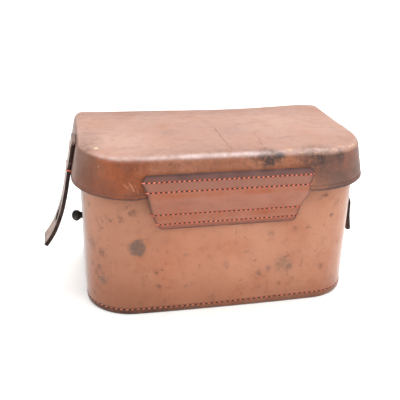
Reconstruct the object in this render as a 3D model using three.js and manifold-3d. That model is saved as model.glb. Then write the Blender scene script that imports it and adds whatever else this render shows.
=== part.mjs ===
// Leather carrying case for a box camera. Millimetres, +Z up.
// Origin: centre of the underside of the base. X runs along the case, -Y is the hinge side,
// +Y the far side with the two tight corners.
import * as THREE from 'three';
import { mergeVertices } from 'three/addons/utils/BufferGeometryUtils.js';
import Module from 'manifold-3d';

// ---- driving dimensions -------------------------------------------------------------
const BODY_W = 200, BODY_D = 109.5;          // outside of the body wall
const BODY_H = 110;                          // top rim of the body wall, hidden by the lid
const BODY_R_HINGE = 32.8, BODY_R_FAR = 5;   // plan corner radii
const WALL_T = 2.8;
const LID_R_HINGE = 34.6, LID_R_FAR = 5;     // before the skirt's flare is added
const LID_EDGE_Z = 93.5, LID_TOP_Z = 120.7, LID_CROWN = 0.8;
const LID_FLARE = 6.92, LID_FLARE_TOP = 2.75; // skirt's stand-off from the body at its edge and below its fillet
const LID_FILLET = 7;
const LID_T = 2.65;
const GAP = 0.3;                             // between pieces that touch
const FLAP_T = 2.2;
const ROW_Z = [103.95, 97.25, 78.75, 71.6];  // the four rows of hinge stitching, from the top
const THREAD = 0.9;                          // thread height and width
const BASE_ROW_Z = 4.2;
const STRAP_T = 2.8, STRAP_W = 20.8;
const HINGE = { y: -61.5, z: 91.5 };         // axis of the lid, along X
const STRAP_PIVOT = { x: 108.6, z: 93.0 };   // axis of each strap, along Y
const STUD = { z: 56.3, bore: 1.5 };
// radius and distance from the case's middle, from the foot of the neck to the outer end
const STUD_PROFILE = [[2.2, 100.3], [2.3, 101.0], [2.6, 101.6], [3.05, 102.2], [3.95, 103.6], [4.2, 104.9], [4.08, 105.6], [3.75, 106.3], [3.2, 106.95], [2.5, 107.5], [1.6, 107.9], [0, 108.12]];
const HOLE_R = 4.8, SLIT_W = 1.4, SLIT_L = 12;

// ---- helpers ------------------------------------------------------------------------
const wasm = await Module();
wasm.setup();

// merged, without collapsed faces, and with its faces pointing out
function closed(geometry) {
  const g0 = geometry.clone();
  g0.deleteAttribute('normal');
  g0.deleteAttribute('uv');
  const g = mergeVertices(g0, 1e-4);
  const p = g.attributes.position, src = g.index.array;
  const tri = [];
  let volume = 0;
  const a = new THREE.Vector3(), b = new THREE.Vector3(), c = new THREE.Vector3();
  for (let i = 0; i < src.length; i += 3) {
    const [i0, i1, i2] = [src[i], src[i + 1], src[i + 2]];
    if (i0 === i1 || i1 === i2 || i0 === i2) continue;
    tri.push(i0, i1, i2);
    a.fromBufferAttribute(p, i0); b.fromBufferAttribute(p, i1); c.fromBufferAttribute(p, i2);
    volume += a.dot(b.cross(c)) / 6;
  }
  if (volume < 0) for (let i = 0; i < tri.length; i += 3) [tri[i], tri[i + 1]] = [tri[i + 1], tri[i]];
  const out = new THREE.BufferGeometry();
  out.setAttribute('position', new THREE.Float32BufferAttribute(Array.from(p.array), 3));
  out.setIndex(tri);
  out.computeVertexNormals();
  return out;
}

const solid = (geometry) => {
  const g = closed(geometry);
  return new wasm.Manifold(new wasm.Mesh({
    numProp: 3,
    vertProperties: new Float32Array(g.attributes.position.array),
    triVerts: new Uint32Array(g.index.array),
  }));
};

function cut(geometry, ...cutters) {
  let body = solid(geometry);
  for (const k of cutters) body = body.subtract(solid(k));
  const m = body.getMesh();
  const g = new THREE.BufferGeometry();
  g.setAttribute('position', new THREE.Float32BufferAttribute(Array.from(m.vertProperties), 3));
  g.setIndex(Array.from(m.triVerts));
  return closed(g);
}

// skin over a list of loops with equal point counts; ring closes last to first, otherwise both ends are capped
function loft(loops, ring = false) {
  const n = loops[0].length, pos = [], idx = [];
  for (const loop of loops) for (const v of loop) pos.push(v.x, v.y, v.z);
  const rows = ring ? loops.length : loops.length - 1;
  for (let i = 0; i < rows; i++) {
    const r0 = i * n, r1 = ((i + 1) % loops.length) * n;
    for (let j = 0; j < n; j++) {
      const k = (j + 1) % n;
      idx.push(r0 + j, r0 + k, r1 + k, r0 + j, r1 + k, r1 + j);
    }
  }
  if (!ring) {
    for (const [row, flip] of [[0, true], [loops.length - 1, false]]) {
      const mid = new THREE.Vector3();
      loops[row].forEach((v) => mid.addScaledVector(v, 1 / n));
      const c = pos.length / 3;
      pos.push(mid.x, mid.y, mid.z);
      for (let j = 0; j < n; j++) {
        const k = (j + 1) % n, a = row * n + j, b = row * n + k;
        if (flip) idx.push(c, b, a); else idx.push(c, a, b);
      }
    }
  }
  const g = new THREE.BufferGeometry();
  g.setAttribute('position', new THREE.Float32BufferAttribute(pos, 3));
  g.setIndex(idx);
  return closed(g);
}

// rounded rectangle in plan, grown outward by off; counter-clockwise from above
function plan(off, z, rHinge = BODY_R_HINGE, rFar = BODY_R_FAR) {
  const hx = BODY_W / 2 + off, hy = BODY_D / 2 + off;
  const rn = Math.max(rHinge + off, 0.8), rf = Math.max(rFar + off, 0.8);
  const out = [];
  const corner = (cx, cy, r, a0, steps) => {
    for (let i = 0; i <= steps; i++) {
      const a = (a0 + (90 * i) / steps) * Math.PI / 180;
      out.push(new THREE.Vector3(cx + r * Math.cos(a), cy + r * Math.sin(a), z));
    }
  };
  corner(hx - rf, hy - rf, rf, 0, 4);
  corner(-hx + rf, hy - rf, rf, 90, 4);
  corner(-hx + rn, -hy + rn, rn, 180, 10);
  corner(hx - rn, -hy + rn, rn, 270, 10);
  return out;
}
const lidPlan = (off, z) => plan(off, z, LID_R_HINGE, LID_R_FAR);

const group = new THREE.Group();
function add(name, geometry, color, roughness = 0.7, metalness = 0) {
  const mesh = new THREE.Mesh(geometry, new THREE.MeshStandardMaterial({ color, roughness, metalness }));
  mesh.name = name;
  group.add(mesh);
  return mesh;
}
// a cylinder along X
function cylX(r, x0, x1, y, z, sides = 20) {
  const g = new THREE.CylinderGeometry(r, r, Math.abs(x1 - x0), sides);
  g.rotateZ(Math.PI / 2);
  g.translate((x0 + x1) / 2, y, z);
  return g;
}
// a lathe about X: profile of [radius, x]; side is -1 or 1
function turned(profile, side, z, sides = 24) {
  const g = new THREE.LatheGeometry(profile.map(([r, h]) => new THREE.Vector2(r, h)), sides);
  g.rotateZ(side > 0 ? -Math.PI / 2 : Math.PI / 2);
  g.translate(0, 0, z);
  return closed(g);
}
const TAN = 0xb8785a, TOP = 0xb07a62, DARK = 0x6b4a40, THREAD_C = 0xb5654a, BLACK = 0x141416;

// ---- body ---------------------------------------------------------------------------
const studHole = (side, r, x0, x1) => cylX(r, side * x0, side * x1, 0, STUD.z);
add('body_wall', cut(
  loft([
    plan(-0.9, 0), plan(-0.25, 0.35), plan(0, 1.2), plan(0, BODY_H - 0.8), plan(-0.6, BODY_H),
    plan(-WALL_T + 0.4, BODY_H), plan(-WALL_T, BODY_H - 0.6), plan(-WALL_T, 0),
  ], true),
  studHole(-1, 1.6, 95, 103), studHole(1, 1.6, 95, 103)), TAN);

const inner = -WALL_T - GAP;
add('base_tray', loft([
  plan(inner - 2.6, 3.2), plan(inner - 2.6, 9), plan(inner, 9), plan(inner, 0.8), plan(inner - 0.8, 0),
].map((l) => l)), DARK);

// the row climbs a little on the right of the near side
const rowRise = (p) => (p.y < 0 ? 1.2 * Math.exp(-(((p.x - 55) / 38) ** 2)) : 0);
const rowLoop = (off, z) => {
  const base = plan(off, z), out = [];
  base.forEach((p, i) => {
    const q = base[(i + 1) % base.length];
    out.push(p);
    for (let k = 1; k < 6; k++) if (p.distanceTo(q) > 30) out.push(p.clone().lerp(q, k / 6));
  });
  return out.map((p) => new THREE.Vector3(p.x, p.y, p.z + rowRise(p)));
};
add('base_stitching', loft([
  rowLoop(GAP, BASE_ROW_Z - THREAD / 2), rowLoop(GAP + THREAD * 0.8, BASE_ROW_Z - THREAD / 2),
  rowLoop(GAP + THREAD * 0.8, BASE_ROW_Z + THREAD / 2), rowLoop(GAP, BASE_ROW_Z + THREAD / 2),
], true), THREAD_C, 0.85);

// zigzag thread that closes the wall's butt seam in the middle of the far side
{
  const loops = [], y = BODY_D / 2 + GAP, h = 0.45;
  const steps = 36, z0 = 9, z1 = 99;
  for (let i = 0; i <= steps; i++) {
    const x = i % 2 ? 2.4 : -2.4, z = z0 + ((z1 - z0) * i) / steps;
    loops.push([
      new THREE.Vector3(x - h, y, z), new THREE.Vector3(x + h, y, z),
      new THREE.Vector3(x + h, y + 0.8, z), new THREE.Vector3(x - h, y + 0.8, z),
    ]);
  }
  add('wall_seam_stitching', loft(loops), THREAD_C, 0.85);
}

add('body_lining', cut(
  loft([plan(inner, 9.4), plan(inner, 108.8), plan(inner - 0.8, 108.8), plan(inner - 0.8, 9.4)], true),
  studHole(-1, 4.5, 93, 99), studHole(1, 4.5, 93, 99)), 0x7a3b34, 0.95);

add('base_pad', loft([plan(inner - 2.9, 3.5), plan(inner - 2.9, 5.2), plan(inner - 3.6, 5.8)]), 0x7a3b34, 0.95);

// ball studs: ball and neck in one, screwed from inside through the wall and a washer
for (const [side, name] of [[-1, 'left'], [1, 'right']]) {
  const x0 = BODY_W / 2 + GAP, profile = [[0, x0 + 3.4], [STUD.bore, x0 + 3.4], [STUD.bore, x0], ...STUD_PROFILE];
  add(`stud_${name}`, turned(profile, side, STUD.z), BLACK, 0.35, 0.6);
  const w1 = BODY_W / 2 - WALL_T - GAP, w0 = w1 - 0.8;
  add(`stud_washer_${name}`, turned([[1.5, w0], [4, w0], [4, w1], [1.5, w1], [1.5, w0]], side, STUD.z), 0xb08d4a, 0.4, 0.9);
  const s1 = w0 - GAP;
  add(`stud_screw_${name}`, turned([
    [0, s1 - 1.6], [1.6, s1 - 1.5], [2.7, s1 - 0.9], [3, s1], [1.15, s1], [1.15, x0 + 2.9], [0, x0 + 3.1],
  ], side, STUD.z), 0xb08d4a, 0.4, 0.9);
}

// ---- lid ----------------------------------------------------------------------------
const slope = (LID_FLARE - LID_FLARE_TOP) / (LID_TOP_Z - LID_FILLET - LID_EDGE_Z);
const lidOff = (z) => LID_FLARE - slope * (z - LID_EDGE_Z);
{
  const loops = [];
  const topIn = LID_TOP_Z - LID_T, rIn = LID_FILLET - LID_T;
  loops.push(lidPlan(-42, topIn + LID_CROWN * 0.95), lidPlan(-22, topIn + LID_CROWN * 0.6));
  for (let i = 0; i <= 4; i++) {           // inner fillet, from the top down
    const a = (90 - 90 * (i / 4)) * Math.PI / 180;
    const zc = topIn - rIn, oc = LID_FLARE_TOP - LID_T - rIn;
    loops.push(lidPlan(oc + rIn * Math.cos(a), zc + rIn * Math.sin(a)));
  }
  loops.push(lidPlan(lidOff(LID_EDGE_Z) - LID_T, LID_EDGE_Z + 0.4), lidPlan(lidOff(LID_EDGE_Z) - LID_T + 0.4, LID_EDGE_Z));
  loops.push(lidPlan(LID_FLARE - 0.6, LID_EDGE_Z), lidPlan(lidOff(LID_EDGE_Z + 0.6), LID_EDGE_Z + 0.6));
  for (let i = 0; i <= 6; i++) {           // outer fillet, from the skirt up
    const a = (90 * (i / 6)) * Math.PI / 180;
    const zc = LID_TOP_Z - LID_FILLET, oc = LID_FLARE_TOP - LID_FILLET;
    loops.push(lidPlan(oc + LID_FILLET * Math.cos(a), zc + LID_FILLET * Math.sin(a)));
  }
  loops.push(lidPlan(-22, LID_TOP_Z + LID_CROWN * 0.6), lidPlan(-42, LID_TOP_Z + LID_CROWN * 0.95));
  add('lid_shell', loft(loops), TOP);
}
add('lid_lining', loft([lidPlan(-4.6, 116.6), lidPlan(-4.6, 117.3)]), 0x7a3b34, 0.95);

// ---- hinge flap ---------------------------------------------------------------------
// outline in X against height; the leather is one piece, parted here where it bends
const FLAP_LEFT = [[108.5, -59.2], [106.6, -61.0], [104.2, -62.6], [103.0, -62.2], [97.25, -59.2], [78.75, -55.1], [71.6, -51.8], [68.2, -50.0], [67.6, -49.1]];
const FLAP_RIGHT = [[108.5, 54.6], [106.6, 56.2], [104.2, 56.9], [103.0, 56.4], [97.25, 54.4], [92.5, 54.0], [88.0, 53.3], [83.5, 52.0], [78.75, 50.5], [71.6, 48.6], [68.2, 46.8], [67.6, 45.9]];
const at = (table, z) => {
  for (let i = 0; i + 1 < table.length; i++) {
    const [za, xa] = table[i], [zb, xb] = table[i + 1];
    if (z <= za && z >= zb) return xa + ((xb - xa) * (za - z)) / (za - zb);
  }
  return z > table[0][0] ? table[0][1] : table[table.length - 1][1];
};
const bodyFace = -BODY_D / 2;
// inner face of the flap, from the lid's skirt down to the body
const flapInner = (z) => {
  const skirt = -(BODY_D / 2 + lidOff(z)) - GAP;
  if (z >= LID_EDGE_Z) return skirt;
  if (z <= 79.5) return bodyFace - GAP;
  const t = (z - 79.5) / (LID_EDGE_Z - 79.5), s = 0.6 * t + 0.4 * t * t * (3 - 2 * t);
  const edge = -(BODY_D / 2 + LID_FLARE) - GAP;
  return (bodyFace - GAP) * (1 - s) + edge * s;
};
function flapPiece(zs) {
  return loft(zs.map((z) => {
    const y = flapInner(z), xl = at(FLAP_LEFT, z), xr = at(FLAP_RIGHT, z);
    return [
      new THREE.Vector3(xl, y - FLAP_T, z), new THREE.Vector3(xr, y - FLAP_T, z),
      new THREE.Vector3(xr, y, z), new THREE.Vector3(xl, y, z),
    ];
  }));
}
add('hinge_flap_upper', flapPiece([95, 97.25, 103.0, 104.2, 106.6, 108.5]), DARK);
add('hinge_flap_bend', flapPiece([79.85, 82, 84, 86, 88, 90, 92, 93.5, 94.6]), DARK);
add('hinge_flap_lower', flapPiece([67.6, 68.2, 71.6, 78.75, 79.45]), DARK);
ROW_Z.forEach((z, i) => {
  const y = flapInner(z) - FLAP_T - GAP, xl = at(FLAP_LEFT, z) - 0.4, xr = at(FLAP_RIGHT, z) + 0.4;
  const section = (x, s) => [
    new THREE.Vector3(x, y, z - THREAD * 0.5 * s), new THREE.Vector3(x, y, z + THREAD * 0.5 * s),
    new THREE.Vector3(x, y - THREAD * 0.8, z + THREAD * 0.35 * s), new THREE.Vector3(x, y - THREAD * 0.8, z - THREAD * 0.35 * s),
  ];
  const loops = [];
  for (let k = 0; k <= 8; k++) loops.push(section(xl + ((xr - xl) * k) / 8, 1));
  add(`hinge_stitch_row_${i + 1}`, loft(loops), THREAD_C, 0.85);
});

// ---- straps -------------------------------------------------------------------------
const strapSection = (x, y0, z, nx, nz, h, w) => [
  new THREE.Vector3(x + nx * h, y0 - w, z + nz * h), new THREE.Vector3(x + nx * h, y0 + w, z + nz * h),
  new THREE.Vector3(x - nx * h, y0 + w, z - nz * h), new THREE.Vector3(x - nx * h, y0 - w, z - nz * h),
];
// centre line of the free part as [distance out from the case's middle, z]
const LEFT_LINE = [[108.6, 93.0], [110.1, 84.5], [111.95, 75.0], [114.2, 66.0], [117.1, 57.5], [120.4, 49.5], [124.2, 42.8], [128.2, 37.2]];
const RIGHT_LINE = [[108.6, 93.0], [107.3, 85.0], [106.2, 78.0], [105.7, 71.5], [106.2, 65.8], [108.4, 61.0], [110.0, 57.2], [110.2, 53.0], [110.6, 47.0], [111.4, 41.0], [112.2, 36.0], [112.8, 32.4]];
const HOLE_CHORD = 36.9;                     // pivot to the middle of the buttonhole

function strap(side, line, name) {
  const curve = new THREE.CatmullRomCurve3(line.map(([x, z]) => new THREE.Vector3(side * x, 0, z)), false, 'centripetal');
  const length = curve.getLength(), loops = [];
  // the top end is rounded about the pivot so that it can turn below the sewn tab
  for (const s of [-1.0, -0.93, -0.7, -0.35]) {
    const dir = curve.getTangentAt(0), h = (STRAP_T / 2) * Math.sqrt(Math.max(1 - s * s, 0.03));
    loops.push(strapSection(side * STRAP_PIVOT.x + dir.x * s * STRAP_T / 2, 0, STRAP_PIVOT.z + dir.z * s * STRAP_T / 2, -dir.z * side, dir.x * side, h, STRAP_W / 2));
  }
  const steps = 22;
  for (let i = 0; i <= steps; i++) {
    const u = i / steps, p = curve.getPointAt(u), d = curve.getTangentAt(u), rest = length * (1 - u);
    let w = STRAP_W / 2;
    if (rest < 0.6) w -= 0.6;
    loops.push(strapSection(p.x, 0, p.z, -d.z * side, d.x * side, STRAP_T / 2, w));
  }
  // buttonhole: a round hole with a slit above it
  let best = null;
  for (let i = 0; i <= 2000; i++) {
    const p = curve.getPointAt(i / 2000), e = Math.abs(Math.hypot(p.x - side * STRAP_PIVOT.x, p.z - STRAP_PIVOT.z) - HOLE_CHORD);
    if (!best || e < best.e) best = { e, p, d: curve.getTangentAt(i / 2000) };
  }
  const hole = new THREE.CylinderGeometry(HOLE_R, HOLE_R, 12, 24);
  hole.rotateZ(Math.PI / 2);
  const slit = new THREE.BoxGeometry(12, SLIT_W, SLIT_L + HOLE_R);
  slit.translate(0, 0, (SLIT_L + HOLE_R) / 2);
  for (const g of [hole, slit]) {
    g.rotateY(Math.atan2(-best.d.x, -best.d.z));
    g.translate(best.p.x, 0, best.p.z);
  }
  add(`strap_${name}`, cut(loft(loops), hole, slit), DARK);

  // sewn tab on the lid's end, with its two rows of stitching
  const tab = [], face = (z) => BODY_W / 2 + lidOff(z) + GAP;
  const top = side < 0 ? 117.7 : 115.7;       // the left tab is sewn on a little higher
  const zs = [95.15, 97.5, 104, 111, 113.5, top - 0.4, top];
  for (const z of zs) {
    const x = face(z), w = z === top ? STRAP_W / 2 - 0.4 : STRAP_W / 2;
    tab.push([
      new THREE.Vector3(side * x, -w, z), new THREE.Vector3(side * (x + STRAP_T), -w, z),
      new THREE.Vector3(side * (x + STRAP_T), w, z), new THREE.Vector3(side * x, w, z),
    ]);
  }
  add(`strap_tab_${name}`, loft(tab), DARK);
  [['upper', 111], ['lower', 96.3]].forEach(([where, z]) => {
    const x = face(z) + STRAP_T + GAP, row = [];
    for (let k = 0; k <= 4; k++) {
      const y = -10.8 + (21.6 * k) / 4;
      row.push([
        new THREE.Vector3(side * x, y, z - 0.45), new THREE.Vector3(side * (x + 0.7), y, z - 0.35),
        new THREE.Vector3(side * (x + 0.7), y, z + 0.35), new THREE.Vector3(side * x, y, z + 0.45),
      ]);
    }
    add(`strap_stitching_${where}_${name}`, loft(row), THREAD_C, 0.85);
  });
}
strap(-1, LEFT_LINE, 'left');
strap(1, RIGHT_LINE, 'right');

export default group;
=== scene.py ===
"""Looks of the leather camera case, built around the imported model. Lengths in the tables are millimetres."""
import bpy
import bmesh
import math
import random
import numpy as np
from mathutils import Matrix, Vector, geometry, noise


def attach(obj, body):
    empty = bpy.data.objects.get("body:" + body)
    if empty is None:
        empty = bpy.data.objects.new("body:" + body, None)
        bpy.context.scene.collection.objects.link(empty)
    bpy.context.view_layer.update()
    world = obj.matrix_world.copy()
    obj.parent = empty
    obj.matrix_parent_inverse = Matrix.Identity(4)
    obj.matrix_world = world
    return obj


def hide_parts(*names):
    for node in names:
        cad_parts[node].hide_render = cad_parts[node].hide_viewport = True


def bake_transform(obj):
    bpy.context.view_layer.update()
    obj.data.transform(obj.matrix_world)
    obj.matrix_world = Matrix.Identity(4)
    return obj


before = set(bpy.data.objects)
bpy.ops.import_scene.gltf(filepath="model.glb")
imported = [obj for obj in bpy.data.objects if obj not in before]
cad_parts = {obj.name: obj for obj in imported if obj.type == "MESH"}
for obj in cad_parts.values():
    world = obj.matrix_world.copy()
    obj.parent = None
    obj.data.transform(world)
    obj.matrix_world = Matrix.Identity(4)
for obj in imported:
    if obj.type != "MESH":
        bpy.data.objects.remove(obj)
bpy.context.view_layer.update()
random.seed(7)
scene = bpy.context.scene
scene.view_settings.view_transform = "Standard"
scene.view_settings.look = "None"

# ---------------------------------------------------------------- dimensions (as in the CAD)
BODY_W, BODY_D, BODY_H = 200.0, 109.5, 110.0
R_HINGE, R_FAR, WALL_T = 32.8, 5.0, 2.8
LID_R_HINGE, LID_R_FAR = 34.6, 5.0
EDGE_Z, TOP_Z, CROWN = 93.5, 120.7, 0.8
FLARE, FLARE_TOP, FILLET, LID_T = 6.92, 2.75, 7.0, 2.65
FLAP_T = 2.2
ROW_Z = [103.95, 97.25, 78.75, 71.6]
BASE_ROW_Z = 4.2
STRAP_T, STRAP_W = 2.8, 20.8
PIVOT_X, PIVOT_Z = 108.6, 93.0
STUD_Z = 56.3
SLOPE = (FLARE - FLARE_TOP) / (TOP_Z - FILLET - EDGE_Z)


def lid_off(z):
    return FLARE - SLOPE * (z - EDGE_Z)


# ---------------------------------------------------------------- node materials
def srgb(r, g, b):
    out = []
    for c in (r, g, b):
        c = c / 255.0
        out.append(c / 12.92 if c <= 0.04045 else ((c + 0.055) / 1.055) ** 2.4)
    return (*out, 1.0)


class Mat:
    def __init__(self, name):
        self.m = bpy.data.materials.new(name)
        self.m.use_nodes = True
        self.nt = self.m.node_tree
        self.nt.nodes.clear()
        self.out = self.new("ShaderNodeOutputMaterial")
        self.b = self.new("ShaderNodeBsdfPrincipled")
        self.link(self.b.outputs[0], self.out.inputs[0])
        self.co = self.new("ShaderNodeTexCoord").outputs["Object"]
        self.m.diffuse_color = (0.5, 0.3, 0.2, 1)

    def new(self, t):
        return self.nt.nodes.new(t)

    def link(self, a, b):
        self.nt.links.new(a, b)

    def put(self, socket, v):
        if isinstance(v, bpy.types.NodeSocket):
            self.link(v, socket)
        else:
            socket.default_value = v

    def noise(self, scale, detail=4.0, rough=0.55, vec=None, distortion=0.0, out=0):
        n = self.new("ShaderNodeTexNoise")
        n.inputs["Scale"].default_value = scale
        n.inputs["Detail"].default_value = detail
        n.inputs["Roughness"].default_value = rough
        n.inputs["Distortion"].default_value = distortion
        self.link(vec or self.co, n.inputs["Vector"])
        return n.outputs[out]

    def voronoi(self, scale, vec=None, feature="F1", rand=1.0):
        n = self.new("ShaderNodeTexVoronoi")
        n.feature = feature
        n.inputs["Scale"].default_value = scale
        n.inputs["Randomness"].default_value = rand
        self.link(vec or self.co, n.inputs["Vector"])
        return n.outputs[0]

    def stretch(self, sx, sy, sz, rot=(0, 0, 0), vec=None):
        n = self.new("ShaderNodeMapping")
        n.inputs["Scale"].default_value = (sx, sy, sz)
        n.inputs["Rotation"].default_value = rot
        self.link(vec or self.co, n.inputs["Vector"])
        return n.outputs[0]

    def warp(self, amount, scale):
        s = self.new("ShaderNodeVectorMath")
        s.operation = "SUBTRACT"
        self.link(self.noise(scale, 3.0, out=1), s.inputs[0])
        s.inputs[1].default_value = (0.5, 0.5, 0.5)
        k = self.new("ShaderNodeVectorMath")
        k.operation = "SCALE"
        self.link(s.outputs[0], k.inputs[0])
        k.inputs["Scale"].default_value = amount
        a = self.new("ShaderNodeVectorMath")
        a.operation = "ADD"
        self.link(self.co, a.inputs[0])
        self.link(k.outputs[0], a.inputs[1])
        return a.outputs[0]

    def span(self, v, a, b, c=0.0, d=1.0, smooth=True):
        n = self.new("ShaderNodeMapRange")
        n.interpolation_type = "SMOOTHSTEP" if smooth else "LINEAR"
        self.put(n.inputs[0], v)
        for i, x in enumerate((a, b, c, d)):
            n.inputs[i + 1].default_value = x
        return n.outputs[0]

    def math(self, op, a, b=0.0, c=0.0, clamp=False):
        n = self.new("ShaderNodeMath")
        n.operation = op
        n.use_clamp = clamp
        for i, x in enumerate((a, b, c)):
            self.put(n.inputs[i], x)
        return n.outputs[0]

    def mix(self, f, a, b, mode="MIX"):
        n = self.new("ShaderNodeMix")
        n.data_type = "RGBA"
        n.blend_type = mode
        self.put(n.inputs[0], f)
        self.put(n.inputs[6], a)
        self.put(n.inputs[7], b)
        return n.outputs[2]

    def attr(self, name):
        n = self.new("ShaderNodeAttribute")
        n.attribute_name = name
        return n.outputs["Fac"]

    def axis(self, i):
        n = self.new("ShaderNodeSeparateXYZ")
        self.link(self.co, n.inputs[0])
        return n.outputs[i]

    def near(self, vec, p, r0, r1, squash=None):
        """1 within r1 of point p (mm), 0 beyond r0"""
        d = self.new("ShaderNodeVectorMath")
        d.operation = "DISTANCE"
        if squash:
            q = self.new("ShaderNodeVectorMath")
            q.operation = "MULTIPLY"
            self.link(vec, q.inputs[0])
            q.inputs[1].default_value = squash
            vec = q.outputs[0]
            p = [p[i] * squash[i] for i in range(3)]
        self.link(vec, d.inputs[0])
        d.inputs[1].default_value = [c * 0.001 for c in p]
        return self.span(d.outputs["Value"], r0 * 0.001, r1 * 0.001)

    def stroke(self, vec, pts, w0, w1):
        """1 within w1 mm of the open line through pts, 0 beyond w0 mm"""
        best = None
        for a, b in zip(pts, pts[1:]):
            a, b = (np.array(v, float) * 0.001 for v in (a, b))
            ab = b - a
            rel = self.new("ShaderNodeVectorMath")
            rel.operation = "SUBTRACT"
            self.link(vec, rel.inputs[0])
            rel.inputs[1].default_value = tuple(a)
            dot = self.new("ShaderNodeVectorMath")
            dot.operation = "DOT_PRODUCT"
            self.link(rel.outputs[0], dot.inputs[0])
            dot.inputs[1].default_value = tuple(ab / float(ab @ ab))
            t = self.math("ADD", dot.outputs["Value"], 0.0, clamp=True)
            foot = self.new("ShaderNodeVectorMath")
            foot.operation = "SCALE"
            foot.inputs[0].default_value = tuple(ab)
            self.link(t, foot.inputs["Scale"])
            d = self.new("ShaderNodeVectorMath")
            d.operation = "DISTANCE"
            self.link(rel.outputs[0], d.inputs[0])
            self.link(foot.outputs[0], d.inputs[1])
            best = d.outputs["Value"] if best is None else self.math("MINIMUM", best, d.outputs["Value"])
        return self.span(best, w0 * 0.001, w1 * 0.001)

    def bump(self, height, strength, distance, under=None):
        n = self.new("ShaderNodeBump")
        n.inputs["Strength"].default_value = strength
        n.inputs["Distance"].default_value = distance
        self.link(height, n.inputs["Height"])
        if under is not None:
            self.link(under, n.inputs["Normal"])
        return n.outputs[0]

    def finish(self, colour, rough=0.5, normal=None, **sockets):
        self.put(self.b.inputs["Base Color"], colour)
        self.put(self.b.inputs["Roughness"], rough)
        if normal is not None:
            self.link(normal, self.b.inputs["Normal"])
        for k, v in sockets.items():
            self.b.inputs[k.replace("_", " ")].default_value = v
        return self.m


def leather(name, base, light, warm, fleck, stains=(), flecks=0.5, edge=srgb(58, 34, 30), wear_and_highlight=srgb(226, 178, 150),
            rough=(0.42, 0.6), grain=1.0, extra=None, spec=0.45, sheen=0.15, sheen_rough=0.22):
    """aged vegetable-tanned leather: mottling at three scales, flecks, stains, burnished edges and rubbed ones; the
    wear mask also carries the lid's painted highlight, and the edge mask painted shade at the wall's foot
    """
    m = Mat(name)
    w = m.warp(0.006, 90)
    col = m.mix(m.span(m.noise(11, 3, vec=w), 0.35, 0.68), base, light)
    col = m.mix(m.math("MULTIPLY", m.span(m.noise(34, 5, 0.6, vec=w), 0.42, 0.74), 0.55), col, warm)
    col = m.mix(m.math("MULTIPLY", m.span(m.noise(150, 5, 0.65), 0.5, 0.8), 0.35), col, fleck)
    fine = m.span(m.noise(620, 2, 0.5), 0.64, 0.74)
    col = m.mix(m.math("MULTIPLY", fine, 0.42 * flecks), col, fleck)
    clump = m.span(m.noise(26, 2), 0.46, 0.66)
    spots = m.math("MULTIPLY", m.span(m.noise(260, 3, 0.6), 0.6, 0.7), clump)
    col = m.mix(m.math("MULTIPLY", spots, 0.75 * flecks), col, fleck)
    if extra:
        col = extra(m, col)
    for p, r0, r1, colour, strength, squash, *solid in stains:
        ragged = m.warp(0.0065, 300) if r0 < 9 else m.warp(0.011, 190)
        f = m.near(ragged, p, r0, r1, squash)
        f = m.math("MULTIPLY", f, m.span(m.noise(420, 4, 0.65), 0.34, 0.56, solid[0] if solid else 0.3, 1.0))
        col = m.mix(m.math("MULTIPLY", f, strength), col, colour)
    brk = m.span(m.noise(240, 4, 0.6), 0.3, 0.62, 0.5, 1.0)
    # the wear mask paints rubbed wear, and on the lid a painted highlight along the top's edge
    col = m.mix(m.math("MULTIPLY", m.attr("wear_and_highlight"), brk, clamp=True), col, wear_and_highlight)
    col = m.mix(m.math("MULTIPLY", m.attr("edge"), m.span(m.noise(180, 3), 0.2, 0.6, 0.7, 1.0), clamp=True), col, edge)
    r = m.span(m.noise(75, 4, 0.6), 0.3, 0.7, rough[0], rough[1])
    pores = m.voronoi(1500, feature="SMOOTH_F1")
    g = m.bump(pores, 0.28 * grain, 0.00012)
    g = m.bump(m.noise(420, 5, 0.65), 0.3 * grain, 0.0003, under=g)
    creases = m.noise(170, 3, 0.5, vec=m.stretch(0.25, 1, 1, vec=w))
    g = m.bump(m.span(creases, 0.35, 0.65), 0.12 * grain, 0.0004, under=g)
    return m.finish(col, r, g, Specular_IOR_Level=spec, Sheen_Weight=sheen, Sheen_Roughness=sheen_rough)


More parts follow.
